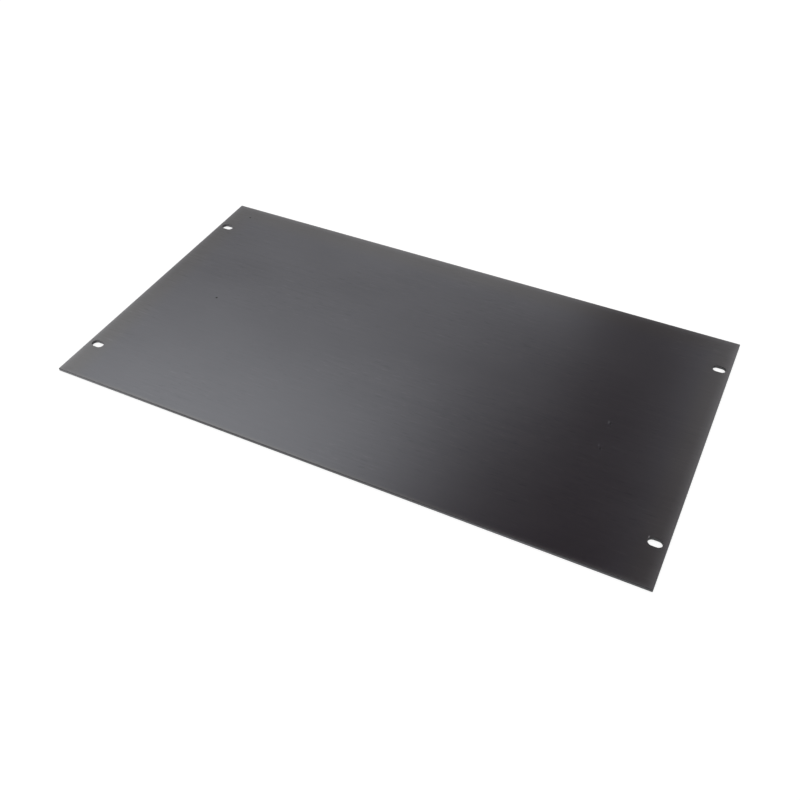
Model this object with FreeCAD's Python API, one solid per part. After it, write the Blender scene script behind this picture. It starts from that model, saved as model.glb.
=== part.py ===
import FreeCAD, Part
import os

# A 19-inch rack blanking panel, 6 units high: one flat sheet of brushed aluminium that closes an
# empty space in a rack. It lies on its rear face. X runs across the rack, from one mounting rail
# to the other, Y runs up the rack, and Z points out of the front face. The origin is the centre
# of the rear face. All sizes are in millimetres.

# The sheet, sized by the 19-inch rack system
PANEL_WIDTH = 482.6          # over both mounting rails
RACK_UNIT = 44.45            # pitch of one unit of height
UNITS_HIGH = 6
NEIGHBOUR_GAP = 0.8          # kept free, so that panels one above the other don't touch
SHEET_THICKNESS = 2.5

# The mounting slots, one near each corner, for M6 rack screws
SLOT_FROM_SIDE = 8.75        # from the panel's left or right edge to a slot's centre
SLOT_FROM_TOP = 37.7         # from its upper or lower edge, the same to the top and bottom rows
SLOT_LENGTH = 10.3           # end to end along X, which takes up the rails' tolerance
SLOT_WIDTH = 6.8             # clearance round an M6 screw

# The finishing of cut edges
CORNER_RADIUS = 0.6          # of the outline's four corners
OUTLINE_BREAK = 0.3          # chamfer round the outline, on both faces
SLOT_BREAK = 0.2             # chamfer round each slot, on both faces

PANEL_HEIGHT = UNITS_HIGH * RACK_UNIT - NEIGHBOUR_GAP


def sheared_sheet():
    """The sheet before punching: a rectangle with its four upright corner edges rounded."""
    lower_left = FreeCAD.Vector(-PANEL_WIDTH / 2, -PANEL_HEIGHT / 2, 0)
    sheet = Part.makeBox(PANEL_WIDTH, PANEL_HEIGHT, SHEET_THICKNESS, lower_left)
    corner_edges = [edge for edge in sheet.Edges if edge.tangentAt(edge.FirstParameter).z != 0]
    return sheet.makeFillet(CORNER_RADIUS, corner_edges)


def slot_centres():
    """The centres of the four slots, in the rear face's plane."""
    across = PANEL_WIDTH / 2 - SLOT_FROM_SIDE
    up = PANEL_HEIGHT / 2 - SLOT_FROM_TOP
    return [FreeCAD.Vector(x, y, 0) for x in (-across, across) for y in (-up, up)]


def slot_slug(centre):
    """What the punch takes out for one slot: straight sides along X and two half-round ends."""
    radius = SLOT_WIDTH / 2
    straight = SLOT_LENGTH / 2 - radius
    upper_left = centre + FreeCAD.Vector(-straight, radius, 0)
    upper_right = centre + FreeCAD.Vector(straight, radius, 0)
    right_end = centre + FreeCAD.Vector(straight + radius, 0, 0)
    lower_right = centre + FreeCAD.Vector(straight, -radius, 0)
    lower_left = centre + FreeCAD.Vector(-straight, -radius, 0)
    left_end = centre + FreeCAD.Vector(-straight - radius, 0, 0)
    outline = [
        Part.LineSegment(upper_left, upper_right),
        Part.Arc(upper_right, right_end, lower_right),
        Part.LineSegment(lower_right, lower_left),
        Part.Arc(lower_left, left_end, upper_left),
    ]
    profile = Part.Face(Part.Wire([segment.toShape() for segment in outline]))
    return profile.extrude(FreeCAD.Vector(0, 0, SHEET_THICKNESS))


def punched_faces(panel):
    """The front and the rear face, the only ones with holes in them."""
    return [face for face in panel.Faces if len(face.Wires) > 1]


def outline_edges(panel):
    return [edge for face in punched_faces(panel) for edge in face.OuterWire.Edges]


def slot_mouth_edges(panel):
    mouths = [wire for face in punched_faces(panel) for wire in face.Wires
              if not wire.isSame(face.OuterWire)]
    return [edge for mouth in mouths for edge in mouth.Edges]


def blanking_panel():
    panel = sheared_sheet()
    for centre in slot_centres():
        panel = panel.cut(slot_slug(centre))
    panel = panel.makeChamfer(OUTLINE_BREAK, outline_edges(panel))
    return panel.makeChamfer(SLOT_BREAK, slot_mouth_edges(panel))


os.makedirs("parts", exist_ok=True)
blanking_panel().exportStep("parts/blanking_panel.step")
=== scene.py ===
import math

import bpy
from mathutils import Matrix, Vector


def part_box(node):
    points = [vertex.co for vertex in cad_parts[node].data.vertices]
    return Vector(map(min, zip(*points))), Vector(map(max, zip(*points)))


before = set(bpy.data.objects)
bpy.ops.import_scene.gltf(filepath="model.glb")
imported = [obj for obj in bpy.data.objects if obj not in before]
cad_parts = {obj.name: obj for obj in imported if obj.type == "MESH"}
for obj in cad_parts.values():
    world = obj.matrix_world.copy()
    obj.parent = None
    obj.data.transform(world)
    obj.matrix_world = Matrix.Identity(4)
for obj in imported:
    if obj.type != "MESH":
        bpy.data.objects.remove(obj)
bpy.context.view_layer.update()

PANEL = "blanking_panel"
panel_low, panel_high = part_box(PANEL)
panel_centre = (panel_low + panel_high) / 2
panel_length = panel_high.x - panel_low.x

MM = 0.001


# ---- Node building ---------------------------------------------------------------------------

class Nodes:
    """Adds nodes to one node tree and links them by their inputs."""

    def __init__(self, tree):
        self.tree = tree
        tree.nodes.clear()

    def feed(self, socket, value):
        if isinstance(value, bpy.types.NodeSocket):
            self.tree.links.new(value, socket)
        else:
            socket.default_value = value

    def add(self, kind, inputs=None, **settings):
        node = self.tree.nodes.new("ShaderNode" + kind)
        for name, value in settings.items():
            setattr(node, name, value)
        for name, value in (inputs or {}).items():
            self.feed(node.inputs[name], value)
        return node

    def math(self, operation, *values):
        return self.add("Math", dict(enumerate(values)), operation=operation).outputs[0]

    def vector_math(self, operation, *values):
        node = self.add("VectorMath", dict(enumerate(values)), operation=operation)
        return node.outputs["Vector"]

    def scale(self, vector, factor):
        node = self.add("VectorMath", {0: vector, "Scale": factor}, operation="SCALE")
        return node.outputs["Vector"]

    def split(self, vector):
        return self.add("SeparateXYZ", {0: vector}).outputs

    def mix(self, factor, a, b, data_type="FLOAT"):
        """a where the factor is 0, and b where it is 1."""
        node = self.add("Mix", {"Factor": factor, "A": a, "B": b}, data_type=data_type)
        return node.outputs["Result"]

    def ramp(self, value, low, high, out_low=0.0, out_high=1.0):
        """value taken smoothly from out_low at low to out_high at high, and level beyond."""
        node = self.add("MapRange", {"Value": value, "From Min": low, "From Max": high,
                                     "To Min": out_low, "To Max": out_high},
                        interpolation_type="SMOOTHSTEP")
        return node.outputs["Result"]

    def seen(self):
        """1 for what the camera sees, directly, in a reflection or through glass, and else 0."""
        path = self.add("LightPath").outputs
        return self.math("MAXIMUM", path["Is Camera Ray"],
                         self.math("MAXIMUM", path["Is Glossy Ray"], path["Is Transmission Ray"]))


def new_material(name):
    material = bpy.data.materials.new(name)
    material.use_nodes = True
    return material, Nodes(material.node_tree)


# ---- Panel finish ----------------------------------------------------------------------------
# Both faces are brushed along X, dyed black and sealed. The finish is paler and less metallic in a
# narrow rim along the edges, palest at the sides and the upper edge, and less blue there. The cut
# edges and the walls of the slots have no grain, and are darker and duller, and the slots' walls
# are darkened further with painted shade.

FACE_COLOUR = (0.253, 0.258, 0.277)
EDGE_TINT_COLOUR = (0.259, 0.259, 0.262)
RIM_COLOUR = (0.292, 0.292, 0.298)
CUT_COLOUR = (0.133, 0.133, 0.139)
FACE_METALLIC = 0.985
RIM_METALLIC = 0.895
FACE_ROUGHNESS = 0.287
CUT_ROUGHNESS = 0.45
MARK_ROUGHNESS = 0.2             # what a mark adds to the face's
GRAIN_STRENGTH = 0.60            # how far the grain draws the reflections out across it
GRAIN_LINE = (1.0, 0.001, 0.0)   # along X, with a trace of Y for the ends, which face along X
RELIEF = 0.005 * MM

# Distances in from the edges.
RIM_WIDTH = 8 * MM               # along the sides and the upper edge
LOWER_RIM_WIDTH = 3.7 * MM       # along the lower edge
PALE_WIDTH = 3.5 * MM            # along the sides and the upper edge
EDGE_TINT_RANGE = 8 * MM, 28 * MM    # from the full edge tint to none
SLOT_RANGE = 1 * MM, 3 * MM      # from the outline's cut edges to the walls of the slots

# Painted light on the cut edges, as a share of the tone that they would have otherwise: a painted
# reflection makes them lighter towards the panel's left end, and painted shade makes them darker
# towards its right end and on the slots' walls.
LEFT_END, LEFT_END_PAINTED_REFLECTION = 150 * MM, 1.5
RIGHT_END, RIGHT_END_PAINTED_SHADE = 90 * MM, 0.72
SLOT_SIDE_PAINTED_SHADE = 0.85            # painted shade on the walls along X
SLOT_END_PAINTED_SHADE = 0.35             # painted shade on the round ends

# How far the normal points along an axis where each of these starts, and where it is full.
FACE_NORMAL = 0.80, 0.95         # along Z, the finish of the faces
SLOT_END_NORMAL = 0.35, 0.75     # along X, the round ends of a slot

# Each noise: the size of its blots along X, Y and Z in millimetres, and its detail.
STREAKS = (60, 1.8, 6), 2.0
DASHES = (10, 1.5, 3), 1.0
GRAIN = (24, 0.5, 3), 1.0
CLOUD = (70, 45, 20), 3.0
WEAR = (120, 70, 20), 1.0
SPECKLE = (0.5, 0.5, 0.5), 2.0

# How far each changes the tone, as a share of it.
STREAK_TONE = 0.12               # from the darkest to the palest
CLOUD_TONE = 0.12                # from the darkest to the palest
SPECKLE_TONE = 0.5               # from the darkest to the palest
DASH_TONE = 0.10                 # up in a pale dash, and down in a dark one
PALE_TONE = 0.19                 # up at the edge

PALE_DASHES = 0.60, 0.78         # the noise's levels where a dash starts, and where it is full
DARK_DASHES = 0.22, 0.40         # the noise's levels where a dash is full, and where it starts
WEAR_LEVELS = 0.38, 0.58         # the noise's levels where the grooves are faintest, and fullest
FAINTEST_GROOVES = 0.30          # as a share of the fullest

CLOUD_ROUGHNESS = 0.03           # from the smoothest to the roughest
GRAIN_ROUGHNESS = 0.01           # from the smoothest to the roughest

# Each mark on the upper face, and each painted shadow and painted glint among the nicks: x and y of
# its middle from the panel's centre, its width along X and along Y, all in millimetres, and how
# much it adds to the face's tone.
PINHOLES = ((-179.6, -1.2, 2.4, 2.4, -0.85), (-221.8, 117.8, 2.2, 1.8, -0.75))
# The second and fourth nicks are painted shadows beside the first and third, and the last is a
# painted glint at the upper left end of the front right slot.
NICKS_SHADOWS_AND_GLINT = ((171.4, -0.4, 1.3, 5.6, 0.20), (173.0, -1.2, 1.8, 4.0, -0.60),
         (171.8, -25.8, 1.7, 3.2, 0.18), (173.9, -29.0, 1.8, 4.0, -0.60),
         (227.4, -92.6, 1.4, 3.4, 1.1))
MARK_CORE = 0.4                  # how far out a mark is full, as a share of its reach


def stretched_noise(n, place, size, detail):
    """Noise from 0 to 1 whose blots have this size in millimetres along X, Y and Z."""
    scale = [1 / (length * MM) for length in size]
    spread = n.vector_math("MULTIPLY", place, scale)
    return n.add("TexNoise", {"Vector": spread, "Scale": 1.0, "Detail": detail}).outputs["Fac"]


def swing(n, noise, amount, middle):
    """The middle value, with up to half the amount added or taken away as the noise goes."""
    return n.math("MULTIPLY_ADD", n.math("SUBTRACT", noise, 0.5), amount, middle)


def insets(n, place):
    """The distances in from the sides and the upper edge, and from the lower edge, in metres."""
    along = n.split(place)
    from_side = n.math("SUBTRACT", panel_length / 2,
                       n.math("ABSOLUTE", n.math("SUBTRACT", along["X"], panel_centre.x)))
    from_upper_edge = n.math("SUBTRACT", panel_high.y, along["Y"])
    from_lower_edge = n.math("SUBTRACT", along["Y"], panel_low.y)
    return n.math("MINIMUM", from_side, from_upper_edge), from_lower_edge


def marks_and_painted_light(n, place, upper_face):
    """What the pinholes, the nicks, the painted shadows beside two nicks and a painted glint add to
    the tone, and how far a place lies in one, from 0 to 1.
    """
    tone = cover = 0.0
    for x, y, width, depth, change in PINHOLES + NICKS_SHADOWS_AND_GLINT:
        middle = (panel_centre.x + x * MM, panel_centre.y + y * MM, 0.0)
        away = n.vector_math("SUBTRACT", place, middle)
        away = n.vector_math("MULTIPLY", away, (2 / (width * MM), 2 / (depth * MM), 0.0))
        away = n.add("VectorMath", {0: away}, operation="LENGTH").outputs["Value"]
        spot = n.math("MULTIPLY", n.ramp(away, MARK_CORE, 1.0, 1.0, 0.0), upper_face)
        tone = n.math("MULTIPLY_ADD", spot, change, tone)
        cover = n.math("MAXIMUM", spot, cover)
    return tone, cover


def face_dye(n, inset, rim):
    edge_tint = n.ramp(inset, *EDGE_TINT_RANGE, 1.0, 0.0)
    dye = n.mix(edge_tint, (*FACE_COLOUR, 1.0), (*EDGE_TINT_COLOUR, 1.0), "RGBA")
    return n.mix(rim, dye, (*RIM_COLOUR, 1.0), "RGBA")


def face_tone(n, place, inset, cloud, marks_and_painted_light_tone):
    """The grooves of the brushing, fainter in places, the clouds, the pale border, the pinholes and
    nicks, and the painted shadows and painted glint.
    """
    dashes = stretched_noise(n, place, *DASHES)
    worn = n.ramp(stretched_noise(n, place, *WEAR), *WEAR_LEVELS, FAINTEST_GROOVES, 1.0)
    grooves = swing(n, stretched_noise(n, place, *STREAKS), STREAK_TONE, 0.0)
    grooves = n.math("ADD", n.ramp(dashes, *PALE_DASHES, 0.0, DASH_TONE), grooves)
    grooves = n.math("SUBTRACT", grooves, n.ramp(dashes, *DARK_DASHES, DASH_TONE, 0.0))
    tone = n.math("MULTIPLY_ADD", grooves, worn, 1.0)
    tone = swing(n, cloud, CLOUD_TONE, tone)
    tone = n.math("MULTIPLY_ADD", n.ramp(inset, 0.0, PALE_WIDTH, 1.0, 0.0), PALE_TONE, tone)
    return n.math("ADD", marks_and_painted_light_tone, tone)


def cut_tone(n, place, normal_x, inset, speckle):
    """The speckle of the cut edges, a painted reflection that lightens them towards the left end
    and painted shade that darkens them towards the right end, and painted shade on the slots'
    walls.
    """
    along = n.split(place)["X"]
    # A painted reflection lightens the cut edges towards the left end, and painted shade darkens
    # them towards the right end.
    left_painted_reflection = n.ramp(along, panel_low.x, panel_low.x + LEFT_END, LEFT_END_PAINTED_REFLECTION, 1.0)
    right_painted_shade = n.ramp(along, panel_high.x - RIGHT_END, panel_high.x, 1.0, RIGHT_END_PAINTED_SHADE)
    # Painted shade on the slots' walls, deepest at their round ends.
    slot_end = n.ramp(n.math("ABSOLUTE", normal_x), *SLOT_END_NORMAL)
    slot_painted_shade = n.mix(slot_end, SLOT_SIDE_PAINTED_SHADE, SLOT_END_PAINTED_SHADE)
    slot_painted_shade = n.mix(n.ramp(inset, *SLOT_RANGE), 1.0, slot_painted_shade)
    tone = swing(n, speckle, SPECKLE_TONE, 1.0)
    tone = n.math("MULTIPLY", tone, n.math("MULTIPLY", left_painted_reflection, right_painted_shade))
    return n.math("MULTIPLY", tone, slot_painted_shade)


def face_roughness(n, cloud, grain, mark_cover):
    roughness = swing(n, cloud, CLOUD_ROUGHNESS, FACE_ROUGHNESS)
    roughness = swing(n, grain, GRAIN_ROUGHNESS, roughness)
    return n.math("MULTIPLY_ADD", mark_cover, MARK_ROUGHNESS, roughness)


def brushed_anodised():
    material, n = new_material("brushed_black_anodised_aluminium")
    place = n.add("TexCoord").outputs["Object"]
    normal = n.add("NewGeometry").outputs["Normal"]
    facing = n.split(normal)
    face = n.ramp(n.math("ABSOLUTE", facing["Z"]), *FACE_NORMAL)
    upper_face = n.ramp(facing["Z"], *FACE_NORMAL)

    grain = stretched_noise(n, place, *GRAIN)
    cloud = stretched_noise(n, place, *CLOUD)
    speckle = stretched_noise(n, place, *SPECKLE)
    marks_and_painted_light_tone, mark_cover = marks_and_painted_light(n, place, upper_face)
    inset, lower_inset = insets(n, place)
    least_inset = n.math("MINIMUM", inset, lower_inset)
    rim = n.math("MAXIMUM", n.ramp(inset, 0.0, RIM_WIDTH, 1.0, 0.0),
                 n.ramp(lower_inset, 0.0, LOWER_RIM_WIDTH, 1.0, 0.0))

    face_colour = n.scale(face_dye(n, inset, rim), face_tone(n, place, inset, cloud, marks_and_painted_light_tone))
    cut_colour = n.scale(CUT_COLOUR, cut_tone(n, place, facing["X"], least_inset, speckle))
    colour = n.mix(face, cut_colour, face_colour, "RGBA")
    metallic = n.math("MULTIPLY_ADD", rim, RIM_METALLIC - FACE_METALLIC, FACE_METALLIC)
    roughness = n.mix(face, CUT_ROUGHNESS, face_roughness(n, cloud, grain, mark_cover))
    bump = n.add("Bump", {"Height": n.mix(face, speckle, grain), "Distance": RELIEF})
    across_grain = n.vector_math("CROSS_PRODUCT", normal, GRAIN_LINE)

    shader = n.add("BsdfPrincipled", {"Base Color": colour, "Metallic": metallic,
                                      "Roughness": roughness, "Normal": bump.outputs["Normal"],
                                      "Anisotropic": GRAIN_STRENGTH, "Tangent": across_grain})
    n.add("OutputMaterial", {"Surface": shader.outputs[0]})
    return material


def dress_panel():
    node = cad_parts[PANEL]
    node.data.materials.clear()
    node.data.materials.append(brushed_anodised())


dress_panel()


# ---- Floor -----------------------------------------------------------------------------------
# It shows as white, and keeps the panel's shadow.

FLOOR_SIZE = 12.0                # metres
FLOOR_GAP = 0.1 * MM             # under the panel
FLOOR_COLOUR = (0.4, 0.4, 0.4)
FLOOR_GLOW = 0.76                # only where it is seen, also in reflections
WHITE = (1.0, 1.0, 1.0, 1.0)


def floor_material():
    material, n = new_material("studio_floor")
    paint = n.add("BsdfDiffuse", {"Color": (*FLOOR_COLOUR, 1.0)})
    glow = n.add("Emission", {"Color": WHITE, "Strength": n.math("MULTIPLY", n.seen(), FLOOR_GLOW)})
    both = n.add("AddShader", {0: paint.outputs[0], 1: glow.outputs[0]})
    n.add("OutputMaterial", {"Surface": both.outputs[0]})
    return material


def add_floor():
    half = FLOOR_SIZE / 2
    mesh = bpy.data.meshes.new("floor")
    mesh.from_pydata([(-half, -half, 0), (half, -half, 0), (half, half, 0), (-half, half, 0)],
                     [], [(0, 1, 2, 3)])
    floor = bpy.data.objects.new("floor", mesh)
    floor.location = (0, 0, -FLOOR_GAP)
    floor.data.materials.append(floor_material())
    bpy.context.scene.collection.objects.link(floor)


add_floor()


# ---- Flag ------------------------------------------------------------------------------------
# A dark arch over the panel, which only reflections see. It is a part of a cylinder round the X
# axis, and holds five cards. Each card is level in its middle and fades out at its edges. Its lean
# is the place along X as a share of the arch's radius, and its rise is the angle in degrees.
# The cards' values were fitted by least squares to the brightness of the face in the photograph,
# and then rounded.

ARCH_RADIUS = 2.0
ARCH_HALF_LENGTH = 4.0
ARCH_LOWEST = math.radians(2)
ARCH_HIGHEST = math.radians(160)
ARCH_STEPS = 48
FLAG_GLOW = (0.021, 0.004, 0.013)

OVERHEAD_DENSITY = 1.00
OVERHEAD_START, OVERHEAD_FADE = -0.41, 0.15           # lean, at the pivot's rise
OVERHEAD_PIVOT = 60                                   # rise
OVERHEAD_SLANT = 0.012                                # less lean for each degree over the pivot
OVERHEAD_FOOT, OVERHEAD_FOOT_FADE = 46.5, 4.0         # rise
OVERHEAD_END, OVERHEAD_END_FADE = 0.11, 0.04          # lean
OVERHEAD_END_SHARE = 0.63                             # of its density, past its end

RAIL_DENSITY = 1.00
RAIL_RISE, RAIL_HALF, RAIL_FADE = 43.0, 2.5, 4.0      # rise
RAIL_END, RAIL_END_FADE = 0.05, 0.04                  # lean

VEIL_DENSITY = 0.94
VEIL_RISE, VEIL_HALF, VEIL_FADE = 40.5, 4.7, 3.0      # rise, at no lean
VEIL_SLANT = 6.0                                      # degrees of rise for each unit of lean
VEIL_END, VEIL_END_FADE = 0.03, 0.06                  # lean

POST_DENSITY = 0.75
POST_LEAN, POST_HALF, POST_FADE = 0.04, 0.11, 0.025   # lean, at the pivot's rise
POST_PIVOT = 45                                       # rise
POST_SLANT = 0.0013                                   # more lean for each degree over the pivot
POST_TOP, POST_TOP_FADE = 77, 32                      # rise

SIDE_DENSITY = 0.20
SIDE_LEAN, SIDE_FADE = -0.72, 0.25                    # lean


def arch_mesh():
    angles = [ARCH_LOWEST + (ARCH_HIGHEST - ARCH_LOWEST) * i / ARCH_STEPS
              for i in range(ARCH_STEPS + 1)]
    points = [(x, ARCH_RADIUS * math.cos(a), ARCH_RADIUS * math.sin(a))
              for a in angles for x in (-ARCH_HALF_LENGTH, ARCH_HALF_LENGTH)]
    faces = [(2 * i, 2 * i + 1, 2 * i + 3, 2 * i + 2) for i in range(ARCH_STEPS)]
    mesh = bpy.data.meshes.new("flag")
    mesh.from_pydata(points, [], faces)
    return mesh


def strip(n, value, middle, half_width, fade, density):
    off_middle = n.math("ABSOLUTE", n.math("SUBTRACT", value, middle))
    return n.ramp(off_middle, half_width, half_width + fade, density, 0.0)


def until(n, value, end, fade, beyond=0.0):
    return n.ramp(value, end, end + fade, 1.0, beyond)


def overhead_card(n, lean, rise):
    over_pivot = n.math("SUBTRACT", rise, OVERHEAD_PIVOT)
    slanted = n.math("MULTIPLY_ADD", over_pivot, OVERHEAD_SLANT, lean)
    density = n.ramp(slanted, OVERHEAD_START, OVERHEAD_START + OVERHEAD_FADE, 0.0, OVERHEAD_DENSITY)
    foot = n.ramp(rise, OVERHEAD_FOOT, OVERHEAD_FOOT + OVERHEAD_FOOT_FADE)
    end = until(n, lean, OVERHEAD_END, OVERHEAD_END_FADE, OVERHEAD_END_SHARE)
    return n.math("MULTIPLY", n.math("MULTIPLY", density, foot), end)


def rail_card(n, lean, rise):
    return n.math("MULTIPLY", strip(n, rise, RAIL_RISE, RAIL_HALF, RAIL_FADE, RAIL_DENSITY),
                  until(n, lean, RAIL_END, RAIL_END_FADE))


def veil_card(n, lean, rise):
    middle = n.math("MULTIPLY_ADD", lean, VEIL_SLANT, VEIL_RISE)
    return n.math("MULTIPLY", strip(n, rise, middle, VEIL_HALF, VEIL_FADE, VEIL_DENSITY),
                  until(n, lean, VEIL_END, VEIL_END_FADE))


def post_card(n, lean, rise):
    over_pivot = n.math("SUBTRACT", rise, POST_PIVOT)
    middle = n.math("MULTIPLY_ADD", over_pivot, POST_SLANT, POST_LEAN)
    return n.math("MULTIPLY", strip(n, lean, middle, POST_HALF, POST_FADE, POST_DENSITY),
                  until(n, rise, POST_TOP, POST_TOP_FADE))


def side_card(n, lean):
    return n.ramp(lean, SIDE_LEAN - SIDE_FADE, SIDE_LEAN, SIDE_DENSITY, 0.0)


def flag_material():
    material, n = new_material("black_flag")
    place = n.split(n.add("TexCoord").outputs["Object"])
    lean = n.math("DIVIDE", place["X"], ARCH_RADIUS)
    rise = n.math("MULTIPLY", n.math("ARCTAN2", place["Z"], place["Y"]), math.degrees(1))

    clear = 1.0
    for density in (overhead_card(n, lean, rise), rail_card(n, lean, rise),
                    veil_card(n, lean, rise), post_card(n, lean, rise), side_card(n, lean)):
        clear = n.math("MULTIPLY", n.math("SUBTRACT", 1.0, density), clear)
    glow = n.add("Emission", {"Color": (*FLAG_GLOW, 1.0)})
    nothing = n.add("BsdfTransparent")
    both = n.add("MixShader", {0: clear, 1: glow.outputs[0], 2: nothing.outputs[0]})
    n.add("OutputMaterial", {"Surface": both.outputs[0]})
    return material


def add_flag():
    flag = bpy.data.objects.new("flag", arch_mesh())
    flag.data.materials.append(flag_material())
    bpy.context.scene.collection.objects.link(flag)
    flag.visible_camera = False
    flag.visible_diffuse = False
    flag.visible_shadow = False
    flag.visible_transmission = False


add_flag()


# ---- Light -----------------------------------------------------------------------------------

LIGHT_STRENGTH = 0.8
SEEN_STRENGTH = 1.0              # as the background, and in reflections


def add_light():
    world = bpy.data.worlds.new("studio")
    bpy.context.scene.world = world
    world.use_nodes = True
    n = Nodes(world.node_tree)
    strength = n.mix(n.seen(), LIGHT_STRENGTH, SEEN_STRENGTH)
    sky = n.add("Background", {"Color": WHITE, "Strength": strength})
    n.add("OutputWorld", {"Surface": sky.outputs[0]})


add_light()


# ---- Camera ----------------------------------------------------------------------------------

CAMERA_PLACE = Vector((252.24, -510.67, 500.48)) * MM
CAMERA_TURN = math.radians(26.562)
CAMERA_TILT = math.radians(90 - 43.844)
CAMERA_ROLL = math.radians(-0.486)
CAMERA_LENS = 42.135             # millimetres, as is the sensor
CAMERA_SENSOR = 36
CAMERA_NEAREST = 0.01            # metres
CAMERA_FARTHEST = 50


def add_camera():
    camera = bpy.data.objects.new("camera", bpy.data.cameras.new("camera"))
    camera.data.lens = CAMERA_LENS
    camera.data.sensor_width = CAMERA_SENSOR
    camera.data.clip_start = CAMERA_NEAREST
    camera.data.clip_end = CAMERA_FARTHEST
    camera.matrix_world = (Matrix.Translation(CAMERA_PLACE)
                           @ Matrix.Rotation(CAMERA_TURN, 4, "Z")
                           @ Matrix.Rotation(CAMERA_TILT, 4, "X")
                           @ Matrix.Rotation(CAMERA_ROLL, 4, "Z"))
    bpy.context.scene.collection.objects.link(camera)
    bpy.context.scene.camera = camera


add_camera()
bpy.context.scene.view_settings.view_transform = "Standard"
